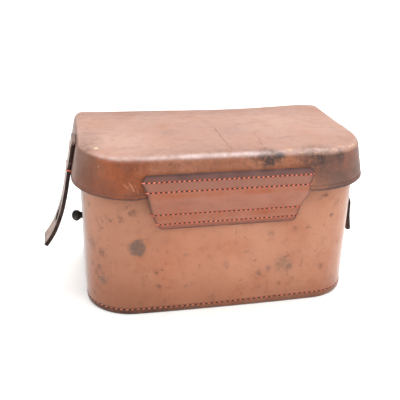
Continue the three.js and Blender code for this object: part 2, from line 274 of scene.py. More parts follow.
GREY = srgb(96, 76, 68)
INK = srgb(46, 37, 37)
BODY_STAINS = [
    ((-65.1, -54.8, 53.6), 7.4, 4.2, srgb(92, 74, 66), 0.88, (1, 1, 0.9), 0.72),
    ((-69.8, -54.6, 56.4), 3.4, 0.6, srgb(92, 74, 66), 0.6, (0.7, 1, 1)),
    ((-48.2, -54.8, 35.6), 2.2, 0.5, INK, 0.6, None),
    ((-52.0, -54.8, 33.6), 3.2, 0.6, INK, 0.6, None),
    ((-50.3, -54.8, 22.0), 3.4, 0.6, INK, 0.55, None),
    ((-42.7, -54.8, 20.4), 2.2, 0.4, INK, 0.6, None),
    ((-44.8, -54.8, 39.8), 1.6, 0.3, INK, 0.5, None),
    ((-31.4, -54.8, 20.7), 3.0, 0.4, GREY, 0.5, None),
    ((-31.3, -54.8, 44.8), 3.0, 0.4, GREY, 0.45, None),
    ((-88.5, -46.9, 47.7), 4.6, 0.5, INK, 0.55, None),
    ((-88.8, -46.6, 26.2), 5.2, 0.8, GREY, 0.75, None),
    ((-91.3, -44.2, 35.3), 3.6, 0.4, INK, 0.5, None),
    ((-94.9, -39.5, 12.6), 2.4, 0.4, INK, 0.6, None),
    ((-95.2, -39.0, 52.0), 6.5, 0.3, INK, 0.4, (1, 1, 0.7)),
    ((-95.4, -38.8, 36.1), 3.0, 0.4, INK, 0.45, None),
    ((-67.7, -54.8, 80.6), 4.0, 0.5, INK, 0.55, None),
    ((-75.8, -53.6, 75.9), 3.2, 0.5, INK, 0.6, None),
    ((-82.5, -51.0, 74.1), 2.0, 0.3, INK, 0.55, None),
    ((-96.0, -37.7, 81.2), 3.0, 0.4, INK, 0.4, None),
    ((42.0, -54.8, 31.6), 11.0, 1.0, srgb(92, 80, 66), 0.5, None),
    ((44.5, -54.8, 38.2), 2.4, 0.6, INK, 0.55, None),
    ((46.4, -54.8, 29.1), 4.5, 0.5, GREY, 0.55, None),
    ((23.6, -54.8, 25.8), 3.0, 0.5, GREY, 0.7, None),
    ((31.2, -54.8, 29.0), 3.4, 0.5, GREY, 0.5, (1, 1, 0.7)),
    ((-1.4, -54.8, 35.0), 4.0, 0.5, GREY, 0.45, (1, 1, 0.7)),
    ((69.5, -54.7, 85.0), 3.2, 0.8, INK, 0.6, None),
    ((76.1, -53.5, 68.9), 2.2, 0.5, INK, 0.6, None),
    ((80.0, -52.2, 78.8), 2.0, 0.4, INK, 0.5, None),
    ((48.7, -54.8, 60.1), 3.0, 0.5, INK, 0.55, None),
    ((58.7, -54.8, 60.4), 2.6, 0.4, INK, 0.5, None),
    ((31.2, -54.8, 57.4), 4.0, 0.4, GREY, 0.45, None),
    ((71.9, -54.4, 27.2), 3.4, 0.4, INK, 0.4, (1, 1, 0.6)),
    ((23.1, -54.8, 14.9), 3.0, 0.4, GREY, 0.4, None),
]
LID_STAINS = [
    ((24.0, -57.2, 116.4), 13.0, 3.0, srgb(96, 60, 40), 0.75, (0.8, 1, 1.1)),
    ((27.0, -57.2, 116.6), 8.5, 3.6, INK, 0.9, (0.75, 1, 1.5)),
    ((24.0, -57.8, 113.4), 4.2, 1.4, INK, 0.9, (1, 1, 0.8)),
    ((33.0, -56.9, 117.8), 4.4, 1.2, srgb(38, 34, 34), 0.8, (0.7, 1, 1.3)),
    ((17.0, -57.3, 117.6), 8.0, 1.0, INK, 0.6, (0.6, 1, 1.8)),
    ((58.0, -57.5, 114.0), 17.0, 2.0, srgb(66, 46, 38), 0.75, (0.8, 1, 1)),
    ((62.0, -57.4, 113.5), 5.0, 1.5, INK, 0.75, None),
    ((58.5, -57.8, 110.2), 3.6, 1.0, INK, 0.6, None),
    ((77.0, -55.6, 114.5), 6.5, 1.4, INK, 0.65, (1, 1, 0.8)),
    ((-20, -57.3, 115.9), 34.0, 3.0, srgb(88, 58, 44), 0.45, (0.4, 1, 3.2)),
    ((-90.0, -35.1, 120.6), 2.15, 1.2, srgb(228, 214, 168), 1.0, (1.05, 0.9, 1), 0.7),
    ((-97.4, -27.0, 120.2), 8.0, 1.0, srgb(106, 78, 66), 0.5, (1.6, 0.7, 1)),
    ((-96.8, -36.0, 119.0), 7.0, 1.0, srgb(110, 80, 66), 0.7, None),
    ((-94.5, -20.0, 120.6), 22.0, 2.0, srgb(118, 86, 74), 0.6, (1.6, 0.6, 1)),
    ((-70, 15.0, 120.9), 46.0, 8.0, srgb(140, 102, 88), 0.2, (0.9, 1.2, 0.1)),
    ((-60, 47.0, 120.7), 60.0, 8.0, srgb(112, 82, 74), 0.42, (0.5, 2.8, 0.1)),
    ((60, 48.0, 120.7), 60.0, 8.0, srgb(120, 88, 76), 0.3, (0.6, 2.2, 0.1)),
    ((-35, -10.0, 120.9), 12.0, 2.0, srgb(134, 104, 96), 0.4, (0.7, 1, 1)),
    ((10.0, -12.0, 120.9), 12.0, 2.0, srgb(134, 104, 96), 0.4, (0.7, 1, 1)),
]


def body_extra(m, col):
    """painted shade towards the foot, in the foot's inward curve and towards the left end; a painted pool of light
    across the middle; a painted pale sheen at the right end and painted shade along the far left edge; dark specks on
    the left end and a few long dull scratches running down
    """
    x, z = m.axis(0), m.axis(2)
    soft = m.math("MULTIPLY", m.math("SUBTRACT", m.noise(18, 3), 0.5), 0.05)
    # painted shade: the wall darkens towards the foot
    foot = m.span(m.math("ADD", z, soft), 0.07, 0.0)
    left = m.span(m.math("ADD", x, soft), -0.02, -0.09)
    col = m.mix(foot, col, (0.84, 0.76, 0.70, 1), "MULTIPLY")
    # painted shade where the wall curves in just above the floor
    low = m.span(m.math("ADD", z, m.math("MULTIPLY", soft, 0.3)), 0.026, 0.006)
    col = m.mix(m.math("MULTIPLY", low, 0.6), col, (0.84, 0.80, 0.78, 1), "MULTIPLY")
    # painted light: a brighter pool across the middle of the near face
    mid = m.math("MULTIPLY", m.span(m.math("ADD", x, soft), -0.066, -0.034), m.span(m.math("ADD", x, soft), 0.028, 0.0))
    mid = m.math("MULTIPLY", mid, m.math("MULTIPLY", m.span(z, 0.018, 0.036), m.span(z, 0.074, 0.060)))
    col = m.mix(m.math("MULTIPLY", mid, 0.8), col, (1.09, 1.09, 1.11, 1), "MULTIPLY")
    # painted shade: darker towards the left end, the side away from the key light
    col = m.mix(left, col, (0.82, 0.81, 0.80, 1), "MULTIPLY")
    # painted sheen: a pale veil along the right end
    col = m.mix(m.math("MULTIPLY", m.span(m.math("ADD", x, soft), 0.085, 0.101), 0.34), col, srgb(196, 158, 144))
    # painted shade along the far left edge
    col = m.mix(m.math("MULTIPLY", m.span(x, -0.0955, -0.1005), 0.5), col, srgb(112, 86, 76))
    band = m.math("MULTIPLY", m.span(x, -0.099, -0.095), m.span(x, -0.082, -0.088))
    band = m.math("MULTIPLY", band, m.math("MULTIPLY", m.span(z, 0.006, 0.02), m.span(z, 0.084, 0.066)))
    speck = m.math("MULTIPLY", m.span(m.noise(330, 4, 0.65), 0.53, 0.62), m.span(m.noise(85, 3, 0.6), 0.44, 0.58))
    col = m.mix(m.math("MULTIPLY", m.math("MULTIPLY", speck, band), 0.5), col, srgb(70, 52, 46))
    line = m.noise(420, 3, 0.6, vec=m.stretch(1, 1, 0.11, rot=(0.05, 0.22, 0)))
    where = m.span(m.noise(20, 2), 0.45, 0.62)
    col = m.mix(m.math("MULTIPLY", m.math("MULTIPLY", m.span(line, 0.66, 0.72), where), 0.2), col, srgb(190, 140, 116))
    line = m.noise(300, 3, 0.6, vec=m.stretch(1, 1, 0.08, rot=(-0.04, -0.2, 0)))
    where = m.span(m.noise(23, 2), 0.5, 0.66)
    return m.mix(m.math("MULTIPLY", m.math("MULTIPLY", m.span(line, 0.64, 0.7), where), 0.4), col, srgb(104, 70, 58))


def lid_extra(m, col):
    """the flared skirt keeps its old orange-brown finish and goes purple-brown to the right; the flat top is rubbed pale"""
    z = m.axis(2)
    x = m.axis(0)
    ragged = m.noise(70, 4, 0.6)
    level = m.math("ADD", z, m.math("MULTIPLY", m.math("SUBTRACT", m.noise(90, 4, 0.65), 0.5), 0.0016))
    skirt = m.span(m.math("ADD", level, m.math("MULTIPLY", x, 0.015)), 0.1184, 0.1164)
    warm = m.mix(m.span(m.noise(46, 4, 0.6), 0.38, 0.66), srgb(106, 50, 22), srgb(131, 64, 27))
    mid = m.mix(m.span(m.noise(50, 4, 0.6), 0.4, 0.7), srgb(150, 90, 62), srgb(166, 106, 78))
    cool = m.mix(m.span(ragged, 0.4, 0.7), srgb(88, 62, 54), srgb(112, 72, 58))
    side = m.math("ADD", x, m.math("MULTIPLY", m.math("SUBTRACT", ragged, 0.5), 0.09))
    tone = m.mix(m.span(side, -0.075, -0.025), warm, mid)
    tone = m.mix(m.span(side, 0.035, 0.075), tone, cool)
    rust = m.math("MULTIPLY", m.span(m.noise(64, 5, 0.7), 0.4, 0.68), m.span(x, 0.066, 0.086))
    tone = m.mix(m.math("MULTIPLY", rust, 0.7), tone, srgb(128, 74, 55))
    corner = m.math("MULTIPLY", m.span(side, -0.078, -0.1), m.span(level, 0.1, 0.113))
    tone = m.mix(m.math("MULTIPLY", corner, 0.8), tone, srgb(102, 62, 40))
    end = m.span(x, -0.086, -0.100)
    tone = m.mix(m.math("MULTIPLY", end, 0.8), tone, srgb(88, 46, 24))
    pores = m.span(m.noise(520, 3, 0.65), 0.52, 0.68)
    tone = m.mix(m.math("MULTIPLY", pores, 0.5), tone, srgb(74, 48, 38))
    bare = m.math("MULTIPLY", m.span(m.noise(240, 5, 0.7), 0.62, 0.72), m.span(m.noise(21, 2), 0.45, 0.6))
    tone = m.mix(m.math("MULTIPLY", bare, 0.5), tone, srgb(184, 138, 116))
    strength = m.math("MULTIPLY", skirt, m.span(m.noise(30, 4, 0.6), 0.2, 0.6, 0.85, 1.0))
    col = m.mix(strength, col, tone)
    # pale cracked line where the top turns down, towards the right end
    band = m.math("MULTIPLY", m.span(level, 0.1172, 0.1186), m.span(level, 0.1204, 0.1196))
    crack = m.noise(360, 4, 0.7, vec=m.stretch(0.22, 1, 1))
    crack = m.math("MULTIPLY", m.span(crack, 0.53, 0.6), m.math("MULTIPLY", band, m.span(x, 0.005, 0.03)))
    near_side = m.span(m.axis(1), -0.03, -0.045)
    col = m.mix(m.math("MULTIPLY", m.math("MULTIPLY", crack, near_side), 0.85), col, srgb(206, 162, 126))
    # two long hairline cracks over the top, and pale scratches low on the skirt's left
    w = m.warp(0.0014, 300)
    hair = m.math("MAXIMUM", m.stroke(w, [(-1.1, -0.4, 121.4), (-0.8, -24.4, 121.3), (0.4, -43.4, 121.0), (1.4, -56.4, 119.4)], 0.42, 0.12),
                  m.stroke(w, [(25.6, -14.4, 121.4), (24.7, -31.0, 121.2), (23.2, -48.0, 121.0), (25.3, -56.3, 119.6)], 0.42, 0.12))
    col = m.mix(m.math("MULTIPLY", m.math("MULTIPLY", hair, m.span(m.noise(160, 3), 0.3, 0.5)), 0.85), col, srgb(92, 50, 40))
    tick = m.stroke(w, [(-91.3, -45.0, 120.6), (-92.5, -44.2, 119.0), (-93.3, -43.8, 117.5)], 0.75, 0.25)
    col = m.mix(m.math("MULTIPLY", tick, 0.8), col, srgb(58, 44, 40))
    cuts = m.math("MAXIMUM", m.stroke(w, [(-70.9, -58.9, 105.3), (-68.6, -59.8, 101.8), (-67.1, -60.4, 98.6)], 0.5, 0.1),
                  m.math("MAXIMUM", m.stroke(w, [(-68.7, -59.2, 105.7), (-66.0, -60.0, 101.5), (-63.6, -61.4, 95.5)], 0.45, 0.1),
                         m.stroke(w, [(-73.5, -58.6, 103.0), (-71.2, -59.6, 100.5)], 0.4, 0.1)))
    col = m.mix(m.math("MULTIPLY", cuts, 0.45), col, srgb(196, 142, 116))
    # long rubbed streaks along the flat top
    top = m.span(z, 0.1196, 0.1204)
    streak_weight = m.span(m.noise(90, 5, 0.65, vec=m.stretch(0.35, 1, 1, rot=(0, 0, 0.05))), 0.52, 0.7)
    return m.mix(m.math("MULTIPLY", m.math("MULTIPLY", streak_weight, top), 0.38), col, srgb(126, 92, 82))


def flap_extra(m, col):
    """purple-grey above the first row, dull between the two upper rows, red-brown along the foot"""
    z = m.axis(2)
    cloud = m.span(m.noise(40, 4, 0.6), 0.25, 0.6, 0.6, 1.0)
    col = m.mix(m.math("MULTIPLY", m.span(z, 0.1042, 0.1058), m.math("MULTIPLY", cloud, 0.72)), col, srgb(98, 68, 68))
    between = m.math("MULTIPLY", m.span(z, 0.0966, 0.0976), m.span(z, 0.1046, 0.1036))
    col = m.mix(m.math("MULTIPLY", between, m.math("MULTIPLY", cloud, 0.5)), col, srgb(118, 80, 70))
    return m.mix(m.math("MULTIPLY", m.span(z, 0.0712, 0.0700), 0.55), col, srgb(122, 62, 44))


def base_extra(m, col):
    """the plate's lip is darker towards the left: painted shade near the floor"""
    return m.mix(m.math("MULTIPLY", m.span(m.axis(0), 0.05, -0.07), 0.62), col, srgb(50, 29, 23))


M_BODY = leather("body_leather", srgb(165, 111, 86), srgb(178, 126, 101), srgb(158, 95, 66), srgb(106, 76, 64),
                 stains=BODY_STAINS, flecks=0.8, edge=srgb(46, 27, 22), extra=body_extra, spec=0.22, sheen=0.8, sheen_rough=0.32)
# the lid's wear colour is a painted highlight, pale lavender where the top turns down
M_LID = leather("lid_leather", srgb(159, 120, 104), srgb(169, 132, 117), srgb(158, 106, 82), srgb(122, 94, 86),
                stains=LID_STAINS, flecks=0.7, edge=srgb(50, 33, 32), wear_and_highlight=srgb(194, 172, 168), extra=lid_extra, spec=0.35)
M_FLAP = leather("flap_leather", srgb(149, 94, 74), srgb(164, 110, 91), srgb(144, 79, 54), srgb(104, 74, 68),
                 flecks=0.5, edge=srgb(52, 30, 30), wear_and_highlight=srgb(146, 76, 44), extra=flap_extra, spec=0.35)
M_STRAP = leather("strap_leather", srgb(122, 94, 80), srgb(142, 114, 100), srgb(100, 70, 54), srgb(80, 60, 52),
                  flecks=0.9, edge=srgb(34, 14, 12), wear_and_highlight=srgb(108, 88, 86), grain=0.6, rough=(0.36, 0.48), spec=0.16, sheen=0.06)
M_BASE = leather("edge_leather", srgb(97, 58, 41), srgb(112, 70, 50), srgb(84, 47, 32), srgb(50, 32, 27),
                 flecks=0.6, edge=srgb(44, 28, 24), extra=base_extra, spec=0.3)


def thread_mat(name, a, b):
    m = Mat(name)
    twist = m.new("ShaderNodeTexWave")
    twist.inputs["Scale"].default_value = 700
    twist.inputs["Distortion"].default_value = 1.0
    m.link(m.stretch(1, 1, 1, rot=(0.3, 0.5, 0.78)), twist.inputs["Vector"])
    col = m.mix(m.span(m.noise(180, 3), 0.35, 0.65), a, b)
    col = m.mix(m.math("MULTIPLY", twist.outputs["Fac"], 0.35), col, (a[0] * 0.45, a[1] * 0.4, a[2] * 0.4, 1))
    return m.finish(col, 0.62, m.bump(twist.outputs["Fac"], 0.5, 0.0001), Specular_IOR_Level=0.3)


M_THREAD = thread_mat("thread", srgb(202, 98, 72), srgb(222, 128, 102))
M_THREAD_BASE = thread_mat("thread_base", srgb(172, 88, 62), srgb(204, 122, 94))
# near-black thread where the stitches go into their holes: painted shade
M_HOLE = thread_mat("stitch_hole_shade", srgb(28, 16, 14), srgb(40, 22, 18))


def fabric_mat(name, a, b):
    m = Mat(name)
    col = m.mix(m.span(m.noise(60, 5, 0.6), 0.35, 0.7), a, b)
    col = m.mix(m.math("MULTIPLY", m.noise(1600, 2), 0.45), col, (a[0] * 0.5, a[1] * 0.5, a[2] * 0.5, 1))
    nap = m.noise(2400, 3, 0.7)
    return m.finish(col, 0.92, m.bump(nap, 0.6, 0.0004), Specular_IOR_Level=0.15, Sheen_Weight=0.5, Sheen_Roughness=0.5)


M_LINING = fabric_mat("lining", srgb(112, 52, 50), srgb(134, 66, 60))


def metal_mat(name, a, b, rough, metallic):
    m = Mat(name)
    worn = m.span(m.noise(330, 5, 0.65), 0.5, 0.72)
    col = m.mix(worn, a, b)
    r = m.span(m.noise(500, 4), 0.3, 0.7, rough - 0.08, rough + 0.12)
    return m.finish(col, r, m.bump(m.noise(900, 4, 0.6), 0.18, 0.0002), Metallic=metallic, Specular_IOR_Level=0.5)


M_BLACK = metal_mat("black_metal", srgb(28, 30, 27), srgb(50, 52, 48), 0.46, 0.0)
M_BRASS = metal_mat("brass", srgb(150, 118, 62), srgb(110, 84, 46), 0.4, 1.0)


# ---------------------------------------------------------------- mesh helpers
def make(name, verts, faces, mat, body, replaces=(), sharp=38, attrs=None, blend=None):
    me = bpy.data.meshes.new(name)
    me.from_pydata([tuple(float(c) * 0.001 for c in v) for v in verts], [], [tuple(int(i) for i in f) for f in faces])
    bm = bmesh.new()
    bm.from_mesh(me)
    bmesh.ops.recalc_face_normals(bm, faces=bm.faces)
    bm.to_mesh(me)
    bm.free()
    for key, values in (attrs or {}).items():
        a = me.attributes.new(key, "FLOAT", "POINT")
        a.data.foreach_set("value", np.asarray(values, np.float32))
    me.polygons.foreach_set("use_smooth", [True] * len(me.polygons))
    if sharp:
        me.set_sharp_from_angle(angle=math.radians(sharp))
    me.materials.append(mat)
    me.update()
    ob = bpy.data.objects.new(name, me)
    scene.collection.objects.link(ob)
    if blend:
        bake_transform(ob)
    else:
        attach(ob, body)
    if replaces:
        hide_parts(*replaces)
    return ob


def skin(loops, ring=False, cap0=False, cap1=False):
    n = len(loops[0])
    faces = []
    rows = len(loops) if ring else len(loops) - 1
    for i in range(rows):
        a, b = i * n, ((i + 1) % len(loops)) * n
        for j in range(n):
            k = (j + 1) % n
            faces.append((a + j, a + k, b + k, b + j))
    if cap0:
        faces.append(tuple(reversed(range(n))))
    if cap1:
        faces.append(tuple(range((len(loops) - 1) * n, len(loops) * n)))
    return np.concatenate(loops), faces


def plan(off, r_near=R_HINGE, r_far=R_FAR, step=3.0, dense=1):
    """rounded rectangle in plan, counter-clockwise, as (points, outward normals); the count doesn't depend on off"""
    hx, hy = BODY_W / 2 + off, BODY_D / 2 + off
    rn, rf = max(r_near + off, 0.4), max(r_far + off, 0.4)
    P, N = [], []
    corners = [(hx - rf, hy - rf, rf, 0, 7), (-hx + rf, hy - rf, rf, 90, 7),
               (-hx + rn, -hy + rn, rn, 180, 20 * dense), (hx - rn, -hy + rn, rn, 270, 20 * dense)]
    base = [BODY_W - 2 * r_far, BODY_D - r_far - r_near, BODY_W - 2 * r_near, BODY_D - r_far - r_near]
    for c, (cx, cy, r, a0, steps) in enumerate(corners):
        for i in range(steps + 1):
            a = math.radians(a0 + 90 * i / steps)
            P.append((cx + r * math.cos(a), cy + r * math.sin(a)))
            N.append((math.cos(a), math.sin(a)))
        ncx, ncy, nr, na, _ = corners[(c + 1) % 4]
        s = P[-1]
        a = math.radians(na)
        e = (ncx + nr * math.cos(a), ncy + nr * math.sin(a))
        count = max(2, int(base[c] / step))
        ts = [i / count for i in range(1, count)]
        if c == 0:   # far side: extra points by the butt seam
            ts = sorted(ts + [0.5 + d for d in (-0.009, -0.005, -0.0025, 0.0025, 0.005, 0.009)])
        for t in ts:
            P.append((s[0] + (e[0] - s[0]) * t, s[1] + (e[1] - s[1]) * t))
            N.append((math.cos(a), math.sin(a)))
    return np.array(P), np.array(N)


def wob(x, y, z, f, seed=0.0):
    return noise.noise(Vector((x * f + seed, y * f - seed, z * f + 0.37 * seed)))


def ring3(off, z, r_near, r_far, shift=None):
    """one loop in space; shift(x, y, z) moves a point out along its plan normal"""
    P, N = plan(off, r_near, r_far)
    out = np.zeros((len(P), 3))
    for i, ((x, y), (nx, ny)) in enumerate(zip(P, N)):
        d = shift(x, y, z) if shift else 0.0
        out[i] = (x + nx * d, y + ny * d, z)
    return out


# ---------------------------------------------------------------- body wall
def gauss(d, w):
    return math.exp(-(d / w) ** 2)


def base_row(x, y):
    """height of the base stitching, which climbs a little on the near side's right"""
    return BASE_ROW_Z + (1.2 * gauss(x - 55, 38) if y < 0 else 0.0)


def body_shift(x, y, z):
    fade = min(1.0, max(0.0, (104 - z) / 12)) * min(1.0, z / 8)
    belly = 1.3 * max(0.0, 1 - ((x + 2) / 82) ** 2) * max(0.0, 1 - z / 48) if y < -40 else 0.0
    d = fade * (0.55 * wob(x, y, z, 0.016) + 0.22 * wob(x, y, z, 0.045, 5) + 0.07 * wob(x, y, z, 0.14, 9))
    d += belly
    d -= 0.42 * gauss(z - base_row(x, y), 0.75)             # channel that the base stitching lies in
    d += 0.12 * gauss(z - 6.6, 1.2)
    if y > 50:
        d -= 0.9 * gauss(x, 0.45) - 0.18 * gauss(abs(x) - 1.6, 0.9)   # butt seam
    return d


loops, edge, wear_and_highlight = [], [], []


def body_row(off, z, e=0.0, w=0.0, shift=True):
    loops.append(ring3(off, z, R_HINGE, R_FAR, body_shift if shift else None))
    # at the foot the edge weight grows towards the left: painted shade on the left foot
    edge.extend([min(1.0, e * (1 + 0.65 * min(1.0, max(0.0, (-p[0] - 5) / 60)) * (z < 6))) for p in loops[-1]])
    wear_and_highlight.extend([w] * len(loops[-1]))


# the foot rows' edge weights paint the dark cut edge and also painted shade under the foot
body_row(-1.3, 0.0, 0.9)
body_row(-0.7, 0.12, 0.9)
body_row(-0.28, 0.5, 0.85)
body_row(-0.04, 1.1, 0.6)
for z in (1.6, 2.2, 2.8):
    body_row(0, z, 0.5)
for z in (3.3, 3.7, 4.2, 4.7, 5.1, 5.6):
    body_row(0, z, 0.42 if z < 5 else 0.18)
for z in (6.3, 7.2, 8.6):
    body_row(0, z, 0.02)
z = 11.0
while z < 108:
    body_row(0, z)
    z += 2.7
for z, off in ((108.6, 0), (109.5, -0.2), (109.9, -0.6), (110.0, -1.1)):
    body_row(off, z, 0.7)
for z, off in ((110.0, -1.7), (109.9, -2.2), (109.5, -2.6), (108.6, -2.8)):
    body_row(off, z, 0.7)
for z in (100, 80, 60, 40, 20, 10, 5, 0.0):
    body_row(-WALL_T, z, 0.1, shift=False)
V, F = skin(loops, ring=True)
make("case_wall", V, F, M_BODY, "case", ["body_wall"], attrs={"edge": edge, "wear_and_highlight": wear_and_highlight})

# base: leather plate with an upturned edge inside the wall
inn = -WALL_T - 0.15
rows = [(inn - 60, 3.0), (inn - 30, 3.05), (inn - 8, 3.1), (inn - 3.4, 3.2), (inn - 2.7, 3.7), (inn - 2.6, 5), (inn - 2.6, 8.6),
        (inn - 2.2, 9.0), (inn - 0.4, 9.0), (inn, 8.6), (inn, 2.5), (inn, 0.9), (inn - 0.25, 0.3), (inn - 0.9, 0.0), (inn - 6, 0.0),
        (inn - 30, 0.0), (inn - 48, 0.0)]
rows[0] = (inn - 48, 3.0)
L = [ring3(o, z, R_HINGE, R_FAR, lambda x, y, z: 0.15 * wob(x, y, z, 0.05, 3) if z > 2 else 0.0) for o, z in rows]
V, F = skin(L, cap0=True, cap1=True)
make("case_base", V, F, M_BASE, "case", ["base_tray"])

# linings
L = [ring3(inn - o, z, R_HINGE, R_FAR, lambda x, y, z: 0.18 * wob(x, y, z, 0.06, 11)) for o, z in
     [(0.2, 9.4)] + [(0.2, 9.4 + i * 8.2) for i in range(1, 12)] + [(0.1, 108.6), (0.35, 109.0), (0.75, 109.0), (1.0, 108.6)] +
     [(1.05, 108.6 - i * 6.2) for i in range(1, 16)] + [(1.05, 9.4)]]
V, F = skin(L, ring=True)
lining = make("case_lining", V, F, M_LINING, "case", ["body_lining"])
L = []
for o, z in [(48, 3.4), (20, 3.4), (3.2, 3.4), (2.9, 3.7), (2.9, 5.2), (3.2, 5.7), (3.8, 5.9), (6, 6.0), (12, 6.0), (20, 6.0), (30, 6.0), (40, 6.0), (48, 6.0)]:
    r = ring3(inn - o, z, R_HINGE, R_FAR)
    if z > 5.5:
        for p in r:
            p[2] += 0.35 * wob(p[0], p[1], 0, 0.05, 2) - 0.1
    L.append(r)
V, F = skin(L, cap0=True, cap1=True)
make("case_floor_pad", V, F, M_LINING, "case", ["base_pad"])


# ---------------------------------------------------------------- lid
def lid_shift(x, y, z):
    k = min(1.0, max(0.0, (116.5 - z) / 10))
    d = 0.4 * wob(x, y, z, 0.017, 21) + 0.16 * wob(x, y, z, 0.06, 23) * k
    crease = 0.25 + 0.75 * min(1.0, max(0.0, (x + 78) / 24))
    d -= crease * (0.42 * gauss(z - (EDGE_Z + 3.0), 0.55) - 0.25 * gauss(z - (EDGE_Z + 1.4), 1.0))      # creased line above the edge
    return d


EDGE_SAG_X = [-100, -85, -66, -60, -50, 48, 54, 62, 78, 92, 104]       # the skirt hangs a little lower outside the flap
EDGE_SAG = [0.2, 0.9, 1.4, 0.8, 0.0, 0.0, 1.6, 2.3, 1.6, 1.4, 1.3]
FAR_EDGE_X = [-105, -95, -80, -60, -40, -15, 5, 25, 45, 60, 72, 84, 95, 105]      # the far edge of the top isn't straight
FAR_EDGE_Z = [1.0, 0.9, 0.6, 0.3, 0.0, -0.7, -1.0, -1.1, -0.6, 0.2, 0.8, 1.3, 0.4, -0.4]


def lid_wave(x, y, z):
    """lower edge and top both wander a little in height"""
    low = max(0.0, 1 - (z - EDGE_Z) / 9)
    high = max(0.0, min(1.0, (z - 117.2) / 3.2))
    far = min(1.0, max(0.0, (y - 5) / 45))
    lift = float(np.interp(x, FAR_EDGE_X, FAR_EDGE_Z)) * far * 0.75
    near = min(1.0, max(0.0, (-y - 10) / 25))
    sag = float(np.interp(x, EDGE_SAG_X, EDGE_SAG)) * near
    return low * (0.2 * wob(x, y, 0, 0.02, 31) - sag) + high * (lift + 0.35 * (1 - far) * wob(x, y, 0, 0.018, 33) + 0.15 * wob(x, y, 0, 0.05, 35))



L, E, W = [], [], []


def lid_row(off, z, e=0.0, w=0.0, inner=False, tight=None):
    P = ring3(off, z, LID_R_HINGE, LID_R_FAR, (lambda x, y, z: 0.3 * wob(x, y, z, 0.017, 21)) if inner else lid_shift)
    if tight:
        Q = ring3(*tight, LID_R_HINGE, LID_R_FAR, lid_shift)
        for p, q in zip(P, Q):
            k = min(1.0, max(0.0, (-p[0] - 82) / 16))
            p += (q - p) * (k * k * (3 - 2 * k))
    for p in P:
        p[2] += lid_wave(*p) * (0.0 if inner and z > 100 else 1.0)
        E.append(e)
        # the strength of the painted highlight along the fillet: patchy, raised in the middle, weaker to the right and
        # faded at the left end
        streak_weight = w * (0.6 + 0.8 * max(0.0, wob(p[0], p[1], 0, 0.06, 41)) - 0.25 * min(1.0, max(0.0, (p[0] - 15) / 25)))
        streak_weight *= 1.0 + 0.3 * gauss(p[0] + 8, 32) - 0.3 * min(1.0, max(0.0, (-p[0] - 52) / 20))
        streak_weight *= 1.0 - 0.85 * min(1.0, max(0.0, (-p[0] - 86) / 7)) * min(1.0, max(0.0, (p[1] + 52) / 10))
        W.append(min(1.0, streak_weight))
    L.append(P)


top_in = TOP_Z - LID_T
r_in = FILLET - LID_T
for o in (-53.6, -50, -44, -36, -28, -20, -13, -8):
    lid_row(o, top_in + CROWN * min(1, (-o) / 42) * 0.9, inner=True)
for i in range(8):
    a = math.radians(90 - 90 * i / 7)
    lid_row(FLARE_TOP - LID_T - r_in + r_in * math.cos(a), top_in - r_in + r_in * math.sin(a), inner=True)
for z in (110, 106, 102, 98, 95.5):
    lid_row(lid_off(z) - LID_T, z, 0.1, inner=True)
lid_row(FLARE - LID_T + 0.1, EDGE_Z + 0.7, 0.6, inner=True)
lid_row(FLARE - LID_T + 0.5, EDGE_Z + 0.15, 0.9, inner=True)
lid_row(FLARE - LID_T + 1.2, EDGE_Z, 1.0, inner=True)
lid_row(FLARE - 1.0, EDGE_Z, 1.0)
lid_row(FLARE - 0.35, EDGE_Z + 0.15, 1.0)
lid_row(FLARE, EDGE_Z + 0.7, 0.85)
for z in (1.2, 1.7, 2.2, 2.6, 2.8, 3.0, 3.2, 3.4, 3.8, 4.4, 5.4, 7, 9, 11, 13, 15, 17, 18.6):
    lid_row(lid_off(EDGE_Z + z), EDGE_Z + z, max(0.0, 0.55 - z * 0.25) + 0.35 * gauss(z - 3.0, 0.35))
# the wear weights along the fillet paint a highlight where the top turns down
for i in range(15):      # the fillet is tighter at the left end
    a = math.radians(90 * i / 14)
    lid_row(FLARE_TOP - FILLET + FILLET * math.cos(a), TOP_Z - FILLET + FILLET * math.sin(a), 0.0, gauss(i - 7.7, 2.2),
            tight=(lid_off(TOP_Z - 4.6 + 4.6 * math.sin(a)) - 4.6 * (1 - math.cos(a)), TOP_Z - 4.6 + 4.6 * math.sin(a)))
for o in (-5.5, -7, -9, -12, -16, -20, -25, -30, -35, -40, -45, -50, -53.6):
    lid_row(o, TOP_Z + CROWN * min(1, (-o - 4) / 38) ** 0.8)
V, F = skin(L, cap0=True, cap1=True)
make("lid_cover", V, F, M_LID, "lid", ["lid_shell"], attrs={"edge": E, "wear_and_highlight": W})

Lp = []
for o, z in [(-50, 116.35), (-30, 116.35), (-12, 116.35), (-5.0, 116.4), (-4.7, 116.65), (-4.7, 117.1), (-5.0, 117.35), (-12, 117.4), (-30, 117.4), (-50, 117.4)]:
    r = ring3(o, z, LID_R_HINGE, LID_R_FAR)
    for p in r:
        p[2] += 0.12 * wob(p[0], p[1], 0, 0.08, 51)
    Lp.append(r)
V, F = skin(Lp, cap0=True, cap1=True)
make("lid_panel", V, F, M_LINING, "lid", ["lid_lining"])


# ---------------------------------------------------------------- cut leather pieces
def inside(poly, p):
    x, y = p
    hit = False
    j = len(poly) - 1
    for i in range(len(poly)):
        xi, yi = poly[i]
        xj, yj = poly[j]
        if (yi > y) != (yj > y) and x < (xj - xi) * (y - yi) / (yj - yi) + xi:
            hit = not hit
        j = i
    return hit


def resample(poly, step):
    pts = [np.array(p, float) for p in poly]
    out = []
    for a, b in zip(pts, pts[1:] + pts[:1]):
        n = max(1, int(round(np.linalg.norm(b - a) / step)))
        out += [a + (b - a) * i / n for i in range(n)]
    return np.array(out)


